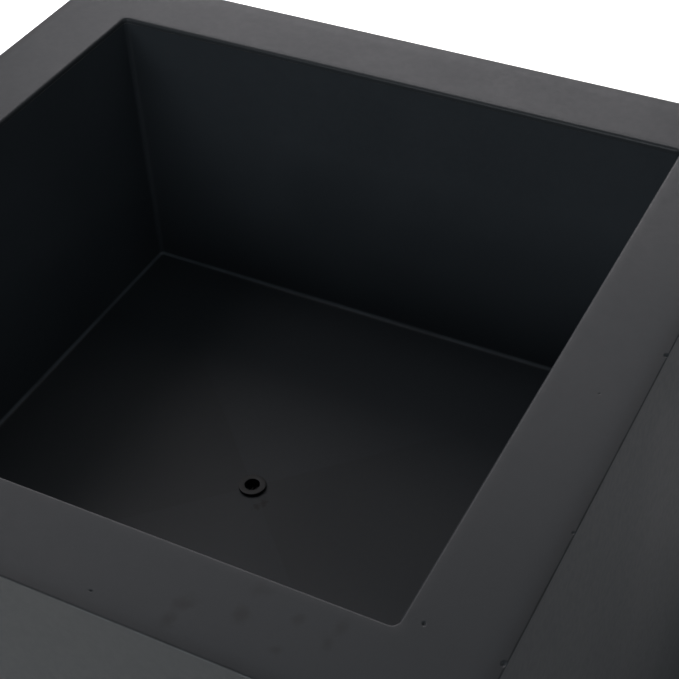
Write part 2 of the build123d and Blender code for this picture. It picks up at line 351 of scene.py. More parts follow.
def tub_back_profile():
    """Tub's raw underside and outside, from the drain back up to the flange."""
    under = FLOOR_Z - FLOOR_T
    outside_r = OPENING_R + TUB_T
    flange = OPENING + RABBET_W - FLANGE_GAP
    ease = 3 * MM
    path = [
        (SEAT_HALF + FLOOR_T, 2 * MM, DRAIN_Z - FLOOR_T),
        (FLOOR_HALF - TUB_T, 12 * MM, under),
        (FLOOR_HALF + TUB_T - ease, outside_r - ease, under),
        (FLOOR_HALF + TUB_T, outside_r, under + ease),
        (OPENING + TUB_T, outside_r, TOP - RIM_UNDER),
        (flange, OPENING_R, TOP - RIM_UNDER),
        (flange, OPENING_R, SEAT_Z),
        (OPENING, OPENING_R, SEAT_Z),
    ]
    return [point for a, b in zip(path, path[1:]) for point in between(a, b, 3 * STEP)]


def casting(name, face_rings, back_rings, seed, wave):
    """A casting with a finished face and a raw back (its second material), unevenly finished."""
    piece = new_object(name, *skin(face_rings + back_rings, closed=True))
    face_count = len(face_rings) * len(face_rings[0])
    for polygon in piece.data.polygons:
        polygon.material_index = 0 if polygon.index < face_count else 1
    points = coordinates(piece)
    depth = wave * (drift(points, WAVE_LENGTH, seed) - 1) / 2
    depth += RIPPLE * (drift(points, RIPPLE_LENGTH, seed + 10) - 1) / 2
    set_coordinates(piece, points + point_normals(piece) * depth[:, None])
    return piece


def shell():
    """Skirt and rim in one casting, with a few pits."""
    face = [rounded_square(*p) for p in shell_face_profile()]
    back = [rounded_square(*p) for p in shell_back_profile()]
    piece = casting("outer_shell_cast", face, back, 1, WAVE)
    for place, size in rim_pits():
        pit(piece, place, size)
    return piece


def tub():
    """Firebox tub: coved walls, floor dished to the drain hole, hanging flange."""
    face = [rounded_square(*p) for p in tub_face_profile()]
    hole = [circle_like(face[-1], DRAIN_HOLE_R, z) for z in np.linspace(DRAIN_Z, DRAIN_Z - FLOOR_T, 4)]
    back = [rounded_square(*p) for p in tub_back_profile()]
    return casting("firebox_tub_cast", face, hole + back, 2, 1.4 * WAVE)


def rim_pits():
    """Pits and one dimple of the casting: (place, radius)."""
    edge = HALF - ARRIS_R
    return [
        (Vector((edge, 0.030, TOP)), 3.0 * MM),
        (Vector((edge, -0.1885, TOP)), 2.0 * MM),
        (Vector((edge - 1 * MM, -0.3213, TOP)), 2.8 * MM),
        (Vector((0.3708, -0.0383, TOP)), 1.1 * MM),
        (Vector((0.1113, -0.3899, TOP)), 1.5 * MM),
        (Vector((0.3406, -0.3136, TOP)), 2.2 * MM),
    ]


def pit(piece, place, size):
    """Presses one small irregular pit into a casting, on a mesh made finer around it."""
    mesh = bmesh.new()
    mesh.from_mesh(piece.data)
    for reach, cuts in ((4.5 * size, 3), (2.2 * size, 2)):
        near = [e for e in mesh.edges if min((v.co - place).length for v in e.verts) < reach]
        bmesh.ops.subdivide_edges(mesh, edges=near, cuts=cuts, use_grid_fill=True)
    mesh.normal_update()
    for v in mesh.verts:
        away = v.co - place
        ragged = size * (1 + 0.45 * noise.noise(v.co / (1.3 * size)))
        t = away.length / ragged
        if t < 1:
            v.co -= v.normal * size * 0.55 * (1 - t * t) ** 2
    mesh.to_mesh(piece.data)
    mesh.free()


def mortar_strip():
    """Trowelled mortar over the joint under the rim, lumpy on its lower side."""
    low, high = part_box("joint_mortar")
    thick, outer = high.z - low.z, high.x
    width = 16 * MM
    rings = [rounded_square(outer, OPENING_R, high.z), rounded_square(outer - width, OPENING_R, high.z)]
    for t in np.linspace(1, 0, 7):
        sag = thick * math.sin(math.pi * (0.08 + 0.84 * t)) ** 0.6
        rings.append(rounded_square(outer - width * t, OPENING_R, high.z - sag))
    piece = new_object("joint_mortar_strip", *skin(rings, closed=True))
    points = coordinates(piece)
    lift = 0.25 * thick * (drift(points, 22 * MM, 3) + 1)
    points[:, 2] += lift * (points[:, 2] < high.z - 0.2 * thick)
    set_coordinates(piece, points)
    return piece


# ---------------------------------------------------------------- turned and threaded hardware

def hexagon(across_flats):
    """Radius at each angle of a hexagonal bar with two corners on the X axis."""
    return lambda angle, height: across_flats / 2 / math.cos(angle % (math.pi / 3) - math.pi / 6)


def bar(radius):
    """Radius at each angle of a round bar."""
    return lambda angle, height: radius


def thread(radius, pitch):
    """Radius at each angle and height of a right-hand thread."""
    depth = THREAD_DEPTH * pitch

    def outline(angle, height):
        phase = (height / pitch - angle / (2 * math.pi)) % 1
        flank = (abs(2 * phase - 1) - THREAD_FLAT) / (1 - 2 * THREAD_FLAT)
        return radius - depth * min(1, max(0, flank))
    return outline


def ring(outline, height, limit=math.inf):
    """One ring of points round a bar, cut down to a limiting radius."""
    points = []
    for i in range(AROUND):
        angle = 2 * math.pi * i / AROUND
        radius = min(outline(angle, height), limit)
        points.append((radius * math.cos(angle), radius * math.sin(angle), height))
    return points


def hex_rings(across_flats, low, high):
    """Rings up a hexagon whose corners are chamfered at both ends."""
    outline = hexagon(across_flats)
    rises = np.linspace(0, HEX_CHAMFER_H * across_flats, 5)
    chamfer = list(zip(rises, across_flats * np.linspace(*HEX_CHAMFER_R, 5)))
    rings = [ring(outline, low + rise, limit) for rise, limit in chamfer]
    return rings + [ring(outline, high - rise, limit) for rise, limit in reversed(chamfer)]


def thread_rings(radius, pitch, low, high):
    """Rings up a thread whose upper end is chamfered."""
    outline = thread(radius, pitch)
    count = round((high - low) / pitch * 10)
    heights = [low + (high - low) * i / count for i in range(count + 1)]
    return [ring(outline, z, radius - THREAD_DEPTH * pitch + (high - z)) for z in heights]


def turned_rings(profile):
    """Rings of a turned piece, from (radius, height) points."""
    return [ring(bar(radius), height) for radius, height in profile]


def nut(across_flats, bore, low, high):
    """A chamfered hexagon nut with a countersunk bore, as (vertices, faces)."""
    sink = 0.6 * MM
    inside = [(bore + sink, high), (bore, high - sink), (bore, low + sink), (bore + sink, low)]
    return skin(hex_rings(across_flats, low, high) + turned_rings(inside), closed=True)


def bolt(across_flats, head, radius, pitch, low, high):
    """A hexagon bolt, head down, with a washer face under the head."""
    washer = turned_rings([(0.47 * across_flats, low + head), (radius, low + head)])
    plain = low + head + 0.3 * (high - low - head)
    shank = turned_rings([(radius, plain)]) + thread_rings(radius, pitch, plain, high)
    return skin(hex_rings(across_flats, low, low + head - 0.2 * MM) + washer + shank, closed=False)


def socket_screw():
    """A pan-head screw with a hexagon socket, its point towards +Z and its head below zero."""
    under = -ANGLE_T
    top = under - SCREW_HEAD_T
    ease = 1.4 * MM
    socket = hexagon(4 * MM)
    rings = [ring(socket, top + 2 * MM), ring(socket, top + 0.2 * MM), ring(bar(2.6 * MM), top)]
    rings += turned_rings(arc((SCREW_HEAD_R - ease, top + ease), ease, -90, 0, 6))
    rings += turned_rings([(SCREW_HEAD_R, under), (SCREW_R, under)])
    return skin(rings + thread_rings(SCREW_R, 1 * MM, under, SCREW_LENGTH - ANGLE_T), closed=False)


def upright(node):
    """The move from the origin to a node's upright axis."""
    low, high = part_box(node)
    return Matrix.Translation(((low.x + high.x) / 2, (low.y + high.y) / 2, 0))


def foot_stud(node):
    """Levelling stud: round toe, chamfered hexagon and M10 thread."""
    low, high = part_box(node)
    toe_r, chamfer = SOCKET_R - 0.1 * MM, 0.8 * MM
    grip_low, grip_high = low.z + SOCKET_DEPTH, high.z - STUD_SHANK
    rings = turned_rings([(toe_r - chamfer, low.z), (toe_r, low.z + chamfer), (toe_r, grip_low)])
    rings += hex_rings(STUD_AF, grip_low, grip_high)
    rings += turned_rings([(STUD_R, grip_high)]) + thread_rings(STUD_R, FINE_PITCH, grip_high, high.z)
    return joined(f"{node}_threaded", [placed(skin(rings, closed=False), upright(node))])


def foot_pad(node):
    """Nylon glide with a domed top, a rounded rim and a socket for the stud."""
    low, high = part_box(node)
    radius, top = (high.x - low.x) / 2, high.z
    rim_r, collar_r, chamfer = 1.2 * MM, 0.8 * MM, 0.5 * MM
    rim = arc((radius - rim_r, low.z + rim_r), rim_r, -90, 40, 8)
    collar = arc((SOCKET_R + 3 * MM, top - collar_r), collar_r, 60, 90, 3)
    socket = [(SOCKET_R + chamfer, top), (SOCKET_R, top - chamfer), (SOCKET_R, top - SOCKET_DEPTH)]
    rings = turned_rings([(SOLE_MIDDLE_R, low.z)] + rim + collar + socket)
    return joined(f"{node}_turned", [placed(skin(rings, closed=False), upright(node))])


def foot_sole(node):
    """Rubber disc with two grooves moulded round its underside."""
    low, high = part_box(node)
    radius = (high.x - low.x) / 2
    ease, groove_top = 0.6 * MM, low.z + 0.7 * MM
    profile = [(SOLE_MIDDLE_R, low.z)]
    for groove in (9 * MM, 16 * MM):
        profile += [(groove, low.z), (groove + 0.5 * MM, groove_top)]
        profile += [(groove + 1.5 * MM, groove_top), (groove + 2 * MM, low.z)]
    profile += arc((radius - ease, low.z + ease), ease, -90, 0, 5)
    profile += [(radius, high.z), (SOLE_MIDDLE_R, high.z)]
    return joined(f"{node}_moulded", [placed(skin(turned_rings(profile), closed=False), upright(node))])


def drain_bush():
    """Flanged bush, turned: rounded flange, bore with the strainer's ledge, thread, plain spigot."""
    low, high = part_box("drain_bush")
    flange_r, flange_low = high.x, high.z - FLANGE_T
    spigot_top = low.z + SPIGOT_LENGTH
    ledge = high.z - STRAINER_LEDGE_Z
    narrow = BUSH_BORE_R - STRAINER_LEDGE
    sink, chamfer, ease = 0.6 * MM, 0.8 * MM, 0.5 * MM
    rings = turned_rings([(narrow + sink, low.z), (SPIGOT_R - chamfer, low.z)])
    rings += turned_rings([(SPIGOT_R, low.z + chamfer), (SPIGOT_R, spigot_top)])
    rings += turned_rings([(BUSH_THREAD_R - 1.1 * MM, spigot_top)])
    rings += thread_rings(BUSH_THREAD_R, FINE_PITCH, spigot_top, flange_low)
    rings += turned_rings([(flange_r - ease, flange_low), (flange_r, flange_low + ease)])
    edge = (flange_r - FLANGE_EDGE_R, high.z - FLANGE_EDGE_R)
    rings += turned_rings(arc(edge, FLANGE_EDGE_R, 0, 90, 5))
    rings += turned_rings(arc((BUSH_BORE_R + ease, high.z - ease), ease, 90, 180, 4))
    rings += turned_rings([(BUSH_BORE_R, ledge), (narrow, ledge), (narrow, low.z + sink)])
    return joined("drain_bush_turned", [skin(rings, closed=True)])


def drain_locknut():
    """Chamfered lock nut of the bush."""
    low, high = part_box("drain_locknut")
    return joined("drain_locknut_chamfered", [nut(LOCKNUT_AF, BUSH_THREAD_R, low.z, high.z)])


def at_corners(name, node, part, across_flats):
    """One object of four like hexagonal parts, at the corners of a node's box."""
    low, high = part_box(node)
    in_x, in_y = across_flats / math.sqrt(3), across_flats / 2
    places = [(x, y) for x in (low.x + in_x, high.x - in_x) for y in (low.y + in_y, high.y - in_y)]
    return joined(name, [placed(part, Matrix.Translation((x, y, 0))) for x, y in places])


def trestle_bolts():
    """Hexagon bolts through frame and trestles."""
    low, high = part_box("trestle_bolts")
    part = bolt(M8_AF, M8_HEAD, M8_R, M8_PITCH, low.z, high.z)
    return at_corners("trestle_bolts_threaded", "trestle_bolts", part, M8_AF)


def trestle_nuts():
    """Hexagon nuts on the trestles' lower rails."""
    low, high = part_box("trestle_nuts")
    part = nut(M8_AF, M8_R + 0.1 * MM, low.z, high.z)
    return at_corners("trestle_nuts_chamfered", "trestle_nuts", part, M8_AF)


def weld_nuts():
    """Weld nuts on the frame, above the feet."""
    low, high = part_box("foot_weld_nuts")
    part = nut(STUD_AF, STUD_R + 0.05 * MM, low.z, high.z)
    return at_corners("foot_weld_nuts_chamfered", "foot_weld_nuts", part, STUD_AF)


def skirt_screws():
    """Socket screws that hold the frame to the skirt, two in each wall."""
    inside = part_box("base_frame")[1].x
    parts = []
    for quarter in range(4):
        for side in (-1, 1):
            turn = Matrix.Rotation(quarter * math.pi / 2, 4, "Z")
            place = Matrix.Translation((inside, side * SCREW_X, SCREW_Z))
            parts.append(placed(socket_screw(), turn @ place @ Matrix.Rotation(math.pi / 2, 4, "Y")))
    return joined("skirt_screws_threaded", parts)


def weld_bead(start, end, radius, seed):
    """A rippled weld bead along a line, its ends tapered, as (vertices, faces)."""
    step, ripple_pitch = 0.6 * MM, 2.4 * MM
    start, end = Vector(start), Vector(end)
    along = (end - start).normalized()
    side = along.orthogonal().normalized()
    up = along.cross(side)
    length = (end - start).length
    count = round(length / step)
    around = np.linspace(0, 2 * math.pi, 12, endpoint=False)
    rings = []
    for i in range(count + 1):
        s = length * i / count
        fade = min(1, 0.35 + min(s, length - s) / (2 * radius))
        ripple = 0.10 * math.sin(2 * math.pi * s / ripple_pitch) + 0.12 * noise.noise((s * 90, seed, 0))
        size = radius * fade * (1 + ripple)
        centre = start + along * s
        rings.append([centre + size * (math.cos(a) * side + math.sin(a) * up) for a in around])
    return skin(rings, closed=False)


def trestle_welds(node):
    """Beads where a trestle's two posts meet its rails."""
    low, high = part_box(node)
    middle, half = (low.y + high.y) / 2, BAR_W / 2
    beads = []
    for level in (low.z + BAR_H, high.z - BAR_H):
        for x in (-POST_X - half, POST_X + half):
            beads.append(((x, middle - half + 2 * MM, level), (x, middle + half - 2 * MM, level)))
        for x in (-POST_X, POST_X):
            inner = x - math.copysign(half - 4 * MM, x)
            outer = x + math.copysign(half - ANGLE_T, x)
            for y in (middle - half + ANGLE_T, middle + half - ANGLE_T):
                beads.append(((inner, y, level), (outer, y, level)))
    return joined(f"{node}_welds", [weld_bead(a, b, BEAD_R, i) for i, (a, b) in enumerate(beads)])


def frame_welds():
    """Beads across the mitres at the base frame's four corners."""
    low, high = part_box("base_frame")
    flat, mitre, corner = low.z + ANGLE_T, high.x - ANGLE_LEG, high.x - 7 * MM
    beads = []
    for x in (-1, 1):
        for y in (-1, 1):
            beads.append([(x * out, y * out, flat) for out in (mitre + 2 * MM, mitre + 13 * MM)])
            beads.append([(x * corner, y * corner, z) for z in (flat, high.z - 2 * MM)])
    return joined("base_frame_welds", [weld_bead(a, b, BEAD_R, 20 + i) for i, (a, b) in enumerate(beads)])


def soften(node, width):
    """Eases a CAD node's sharp edges. Flat areas are merged first, as a bevel folds thin triangles."""
    piece = frame["nodes"][node]
    weld = piece.modifiers.new("weld", "WELD")
    weld.merge_threshold = 0.01 * MM
    flat = piece.modifiers.new("flat", "DECIMATE")
    flat.decimate_type = "DISSOLVE"
    flat.angle_limit = math.radians(0.5)
    bevel = piece.modifiers.new("ease", "BEVEL")
    bevel.width = width
    bevel.segments = 2
    bevel.harden_normals = True
    bevel.limit_method = "ANGLE"
    bevel.angle_limit = math.radians(40)


# ---------------------------------------------------------------- materials

# Sockets of a mix node that carry colours
MIX_A, MIX_B, MIX_RESULT = 6, 7, 2


class Shader:
    """Builds one node material around its Principled shader."""

    def __init__(self, name, **sockets):
        self.material = bpy.data.materials.new(name)
        self.material.use_nodes = True
        self.tree = self.material.node_tree
        self.principled = self.tree.nodes["Principled BSDF"]
        for key, value in sockets.items():
            self.principled.inputs[key.replace("_", " ")].default_value = value
        self.place = self.node("ShaderNodeTexCoord").outputs["Object"]
        self.normal = None

    def node(self, kind, **settings):
        """A new node with some of its settings."""
        made = self.tree.nodes.new(kind)
        for key, value in settings.items():
            setattr(made, key, value)
        return made

    def link(self, source, target):
        """Joins an output to an input."""
        self.tree.links.new(source, target)

    def noise(self, scale, detail=4, roughness=0.5, stretch=None, distortion=0):
        """Noise from 0 to 1, its scale in cells per metre."""
        made = self.node("ShaderNodeTexNoise")
        made.inputs["Scale"].default_value = scale
        made.inputs["Detail"].default_value = detail
        made.inputs["Roughness"].default_value = roughness
        made.inputs["Distortion"].default_value = distortion
        self.link(self.stretched(stretch), made.inputs["Vector"])
        return made.outputs["Fac"]

    def cells(self, scale, feature="F1", output="Distance"):
        """Scattered cells, their spacing 1/scale metres."""
        made = self.node("ShaderNodeTexVoronoi", feature=feature)
        made.inputs["Scale"].default_value = scale
        self.link(self.place, made.inputs["Vector"])
        return made.outputs[output]

    def stretched(self, stretch):
        """The place on the surface, scaled along each axis."""
        if stretch is None:
            return self.place
        made = self.node("ShaderNodeMapping")
        made.inputs["Scale"].default_value = stretch
        self.link(self.place, made.inputs["Vector"])
        return made.outputs["Vector"]

    def near(self, centre, radius, ragged):
        """1 at a point, falling to 0 at about a radius round it; ragged varies the radius."""
        made = self.node("ShaderNodeVectorMath", operation="DISTANCE")
        self.link(self.place, made.inputs[0])
        made.inputs[1].default_value = centre
        return self.ramp(self.product(made.outputs["Value"], ragged), 0.1 * radius, radius, 1, 0)

    def axes(self):
        """The place's distance from the middle along X and along Y, and its height."""
        made = self.node("ShaderNodeSeparateXYZ")
        self.link(self.place, made.inputs["Vector"])
        x, y, z = made.outputs
        return self.math("ABSOLUTE", x, 0), self.math("ABSOLUTE", y, 0), z

    def ramp(self, value, low, high, start, end):
        """Maps value from low..high to start..end, smoothly and clamped."""
        made = self.node("ShaderNodeMapRange", interpolation_type="SMOOTHSTEP")
        self.link(value, made.inputs["Value"])
        for key, number in (("From Min", low), ("From Max", high), ("To Min", start), ("To Max", end)):
            made.inputs[key].default_value = number
        return made.outputs["Result"]

    def math(self, operation, a, b):
        """One operation on two values; each is a number or a socket."""
        made = self.node("ShaderNodeMath", operation=operation)
        for socket, value in zip(made.inputs, (a, b)):
            if isinstance(value, (int, float)):
                socket.default_value = value
            else:
                self.link(value, socket)
        return made.outputs["Value"]

    def product(self, *values):
        """The product of several values; each but the first may be a number."""
        result = values[0]
        for value in values[1:]:
            result = self.math("MULTIPLY", result, value)
        return result

    def band(self, value, low, full, fade, high):
        """1 from full to fade, falling to 0 at low and at high."""
        return self.product(self.ramp(value, low, full, 0, 1), self.ramp(value, fade, high, 1, 0))

    def mix(self, factor, a, b):
        """A colour between a and b; each is a colour or a socket."""
        made = self.node("ShaderNodeMix", data_type="RGBA")
        self.link(factor, made.inputs["Factor"])
        for socket, value in ((made.inputs[MIX_A], a), (made.inputs[MIX_B], b)):
            if isinstance(value, tuple):
                socket.default_value = (*value, 1)
            else:
                self.link(value, socket)
        return made.outputs[MIX_RESULT]

    def colour(self, source):
        """Sets the base colour."""
        self.link(source, self.principled.inputs["Base Color"])

    def roughness(self, source):
        """Sets the roughness."""
        self.link(source, self.principled.inputs["Roughness"])

    def bump(self, height, distance):
        """Adds a layer of bump: a height of 1 stands for this distance."""
        made = self.node("ShaderNodeBump")
        made.inputs["Distance"].default_value = distance
        self.link(height, made.inputs["Height"])
        if self.normal is not None:
            self.link(self.normal, made.inputs["Normal"])
        self.normal = made.outputs["Normal"]
        self.link(self.normal, self.principled.inputs["Normal"])


def tint(colour, factor):
    """A colour made lighter or darker."""
    return tuple(c * factor for c in colour)


def coating(name, colour):
    """Charcoal coating on cast concrete: satin, faintly clouded, finely grained, as (shader, colour)."""
    shader = Shader(name)
    clouds = shader.noise(4.5, detail=5, roughness=0.55, distortion=0.4)
    specks = shader.noise(420, detail=3)
    peel = shader.noise(150, detail=3)
    base = shader.mix(shader.ramp(clouds, 0.3, 0.7, 0, 1), tint(colour, 0.93), tint(colour, 1.07))
    base = shader.mix(shader.ramp(specks, 0.5, 0.8, 0, 0.15), base, tint(colour, 1.5))
    worn = shader.ramp(clouds, 0.25, 0.75, 0.47, 0.53)
    shader.roughness(shader.math("ADD", worn, shader.ramp(peel, 0.3, 0.7, -0.02, 0.02)))
    shader.bump(peel, 0.02 * MM)
    shader.bump(shader.noise(700, detail=4, roughness=0.6), 0.012 * MM)
    return shader, base


def hand_marks(shader, base, ragged):
    """A colour with the smears that hands have left on the front rim."""
    for start, end, radius in HAND_MARKS:
        for t in (0, 0.33, 0.67, 1):
            x, y = (a + (b - a) * t for a, b in zip(start, end))
            mark = shader.near((x, y, TOP), radius, ragged)
            base = shader.mix(shader.product(mark, 0.16), base, tint(COATING, 0.15))
    return base


def shell_coating():
    """Coating of shell and rim: smears on the front rim, painted shade on the margin and along the arris, a
    painted highlight just below the arris.
    """
    shader, base = coating("shell_coating", COATING)
    ragged = shader.ramp(shader.noise(60, detail=5, roughness=0.6), 0.3, 0.7, 0.6, 1.6)
    base = hand_marks(shader, base, ragged)
    out_x, out_y, height = shader.axes()
    wander = shader.ramp(ragged, 0.6, 1.5, 0, 0.8 * MM)
    out = shader.math("ADD", shader.math("MAXIMUM", out_x, out_y), wander)
    at_top = shader.ramp(height, TOP - 1.2 * MM, TOP - 0.6 * MM, 0, 1)
    # Painted shade: the rim's margin darkened towards the outer arris
    margin = shader.product(at_top, shader.ramp(out, HALF - 14 * MM, HALF, 0, 0.45))
    broken = shader.ramp(shader.noise(9, detail=5), 0.35, 0.65, 0.35, 0.8)
    # Painted shade: a thin dark line along the arris, broken by noise
    arris = shader.product(at_top, shader.ramp(out, HALF - 1.1 * MM, HALF - 0.4 * MM, 0, 1), broken)
    # Painted highlight: a pale line on the face just below the arris
    below = shader.band(height, TOP - 3.0 * MM, TOP - 2.2 * MM, TOP - 1.6 * MM, TOP - 1.2 * MM)
    on_face = shader.ramp(out, HALF - 3 * MM, HALF - 2 * MM, 0, 1)
    pale = shader.product(below, shader.ramp(ragged, 0.8, 1.6, 0.8, 0), on_face)
    base = shader.mix(margin, base, tint(COATING, 0.30))
    base = shader.mix(pale, base, tint(COATING, 1.8))
    shader.colour(shader.mix(arris, base, tint(COATING, 0.05)))
    return shader.material


def tub_coating():
    """Coating of the firebox, tinted bluer as painted shade: a painted highlight along the cove, painted
    shade on the floor left and right of the drain, ash specks.
    """
    shader, base = coating("firebox_coating", FIREBOX_SHADE_TINTED_COATING)
    ragged = shader.ramp(shader.noise(300, detail=4, roughness=0.6), 0.3, 0.7, 0.55, 1.6)
    out_x, out_y, height = shader.axes()
    on_floor = shader.ramp(height, FLOOR_Z - 0.2 * MM, FLOOR_Z, 1, 0)
    # Painted shade: the floor's left and right facets darkened, most near the drain
    side_facet_shade = shader.ramp(shader.math("SUBTRACT", out_x, out_y), -2 * MM, 2 * MM, 0, 0.6)
    near_drain = shader.ramp(shader.math("MAXIMUM", out_x, out_y), 0.06, 0.20, 1, 0.1)
    base = shader.mix(shader.product(on_floor, side_facet_shade, near_drain), base, tint(FIREBOX_SHADE_TINTED_COATING, 0.68))
    # Painted highlight: a paler band along the cove at the floor's edge, broken up by noise
    cove = shader.band(height, FLOOR_Z, FLOOR_Z + 0.8 * MM, FLOOR_Z + 1.5 * MM, FLOOR_Z + 4 * MM)
    highlight_breakup = shader.ramp(shader.noise(14, detail=4), 0.3, 0.65, 0.35, 1)
    base = shader.mix(shader.product(cove, highlight_breakup), base, tint(FIREBOX_SHADE_TINTED_COATING, 2.8))
    for x, y, radius in ASH_SPECKS:
        base = shader.mix(shader.near((x, y, DRAIN_Z), radius, ragged), base, tint(FIREBOX_SHADE_TINTED_COATING, 0.03))
    shader.colour(base)
    return shader.material


def raw_concrete():
    """Uncoated glass-fibre concrete of the castings' backs: pale, pitted, with short fibres."""
    shader = Shader("raw_concrete")
    colour = (0.26, 0.255, 0.24)
    clouds = shader.noise(6, detail=6, roughness=0.65, distortion=0.5)
    holes = shader.ramp(shader.cells(45), 0.05, 0.14, 0, 1)
    fibres = [shader.noise(60, detail=2, stretch=stretch) for stretch in ((1, 14, 6), (14, 1, 6), (9, 9, 1))]
    fibre = shader.math("MAXIMUM", shader.math("MAXIMUM", fibres[0], fibres[1]), fibres[2])
    base = shader.mix(shader.ramp(clouds, 0.3, 0.7, 0, 1), tint(colour, 0.72), tint(colour, 1.15))
    base = shader.mix(shader.ramp(fibre, 0.66, 0.74, 0, 0.5), base, (0.48, 0.47, 0.43))
    # Painted shade in the pores: the holes darkened
    shader.colour(shader.mix(holes, tint(colour, 0.45), base))
    shader.roughness(shader.ramp(clouds, 0.3, 0.7, 0.82, 0.95))
    shader.bump(clouds, 1.2 * MM)
    shader.bump(fibre, 0.4 * MM)
    shader.bump(holes, 0.9 * MM)
    return shader.material


def mortar():
    """Pale trowelled mortar, sandy, with small voids."""
    shader = Shader("joint_mortar")
    sand = shader.noise(520, detail=4, roughness=0.7)
    drag = shader.noise(90, detail=3, distortion=1.2)
    base = shader.mix(shader.ramp(drag, 0.3, 0.7, 0, 1), (0.24, 0.235, 0.22), (0.36, 0.35, 0.33))
    shader.colour(shader.mix(shader.ramp(sand, 0.5, 0.8, 0, 0.6), base, (0.17, 0.165, 0.15)))
    shader.roughness(shader.ramp(sand, 0.3, 0.7, 0.85, 0.97))
    shader.bump(drag, 0.6 * MM)
    shader.bump(sand, 0.25 * MM)
    return shader.material


def enamel(name, colour, low, high, peel_size):
    """Black paint on steel or iron: orange peel, dust in soft patches, a few rubs."""
    shader = Shader(name)
    dust = shader.noise(16, detail=6, roughness=0.65)
    rubs = shader.noise(220, detail=4, stretch=(1, 1, 0.12))
    base = shader.mix(shader.ramp(dust, 0.45, 0.75, 0, 0.35), colour, tint(colour, 1.8))
    shader.colour(shader.mix(shader.ramp(rubs, 0.66, 0.78, 0, 0.5), base, tint(colour, 3.0)))
    shader.roughness(shader.ramp(dust, 0.3, 0.75, low, high))
    shader.bump(shader.noise(peel_size, detail=2), 0.05 * MM)
    return shader.material


def plated(name, colour, grain):
    """Zinc plate or brass: crystal patches, fine scratches, dull spots."""
    shader = Shader(name, Metallic=1.0)
    patches = shader.cells(grain, output="Color")
    dull = shader.noise(130, detail=5, roughness=0.6)
    scratches = shader.noise(1400, detail=3, stretch=(1, 1, 0.06))
    base = shader.mix(shader.ramp(dull, 0.35, 0.75, 0, 0.55), colour, tint(colour, 0.62))
    shader.colour(shader.mix(shader.ramp(patches, 0.2, 0.8, 0, 0.25), base, tint(colour, 1.25)))
    worn = shader.ramp(dull, 0.3, 0.7, 0.26, 0.46)
    shader.roughness(shader.math("ADD", worn, shader.ramp(scratches, 0.5, 0.8, 0, 0.1)))
    shader.bump(scratches, 0.012 * MM)
    return shader.material


def moulded(name, colour, low, high, grain):
    """Moulded rubber or nylon: even colour with bloom and dust, finely grained."""
    shader = Shader(name)
    bloom = shader.noise(70, detail=5, roughness=0.6)
    texture = shader.noise(grain, detail=3)
    shader.colour(shader.mix(shader.ramp(bloom, 0.4, 0.75, 0, 1), colour, tint(colour, 1.8)))
    shader.roughness(shader.ramp(bloom, 0.3, 0.7, low, high))
    shader.bump(texture, 0.04 * MM)
    return shader.material


def ceramic_fibre():
    """White ceramic-fibre felt, matted and a little scorched."""
    shader = Shader("ceramic_fibre", Sheen_Weight=0.15)
    mat = shader.noise(800, detail=5, roughness=0.75, distortion=2)
    scorch = shader.noise(25, detail=4)
    base = shader.mix(shader.ramp(scorch, 0.5, 0.8, 0, 0.6), (0.72, 0.70, 0.66), (0.45, 0.38, 0.30))
    shader.colour(shader.mix(shader.ramp(mat, 0.3, 0.7, 0, 0.4), base, (0.55, 0.54, 0.51)))
    shader.roughness(shader.ramp(mat, 0.3, 0.7, 0.9, 1.0))
    shader.bump(mat, 0.5 * MM)
    return shader.material


def dress(piece, *materials):
    """Gives a piece its materials, in the order of its faces' material numbers."""
    for material in materials:
        piece.data.materials.append(material)


# ---------------------------------------------------------------- assembly

MATERIALS = {
    "coated_concrete": shell_coating(),
    "joint_mortar": mortar(),
    "frame_enamel": enamel("frame_enamel", (0.018, 0.018, 0.019), 0.42, 0.54, 260),
    "drain_enamel": enamel("drain_enamel", (0.030, 0.031, 0.032), 0.40, 0.55, 500),
    "zinc_steel": plated("zinc_plate", (0.56, 0.57, 0.60), 260),
    "insert_brass": plated("insert_brass", (0.62, 0.46, 0.20), 700),
    "ceramic_fibre": ceramic_fibre(),
    "black_rubber": moulded("black_rubber", (0.018, 0.018, 0.018), 0.70, 0.88, 900),
    "black_nylon": moulded("black_nylon", (0.022, 0.022, 0.024), 0.42, 0.58, 600),
}
SLOTS = {row["node"]: row["material_slot"] for row in frame["record"]["subparts"]}


def stand_in(piece, node, body="root", materials=None):
    """A piece that is shown instead of a CAD node, in its slot's material unless told otherwise."""
    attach(piece, body)
    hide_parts(node)
    dress(piece, *(materials or [MATERIALS[SLOTS[node]]]))


def welded_on(piece, node):
    """A piece added to a CAD node that is still shown."""
    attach(piece, "root")
    dress(piece, MATERIALS[SLOTS[node]])


for node, name in SLOTS.items():
    for place in frame["nodes"][node].material_slots:
        place.material = MATERIALS[name]

RAW = raw_concrete()
stand_in(shell(), "outer_shell", materials=[MATERIALS["coated_concrete"], RAW])
stand_in(tub(), "firebox_tub", materials=[tub_coating(), RAW])
stand_in(mortar_strip(), "joint_mortar")
stand_in(drain_bush(), "drain_bush")
stand_in(drain_locknut(), "drain_locknut")
stand_in(trestle_bolts(), "trestle_bolts")
stand_in(trestle_nuts(), "trestle_nuts")
stand_in(weld_nuts(), "foot_weld_nuts")
stand_in(skirt_screws(), "skirt_screws")
for corner in CORNERS:
    stand_in(foot_stud(f"foot_stud_{corner}"), f"foot_stud_{corner}", f"stud_{corner}")
    stand_in(foot_pad(f"foot_pad_{corner}"), f"foot_pad_{corner}", f"foot_{corner}")
    stand_in(foot_sole(f"foot_sole_{corner}"), f"foot_sole_{corner}", f"foot_{corner}")

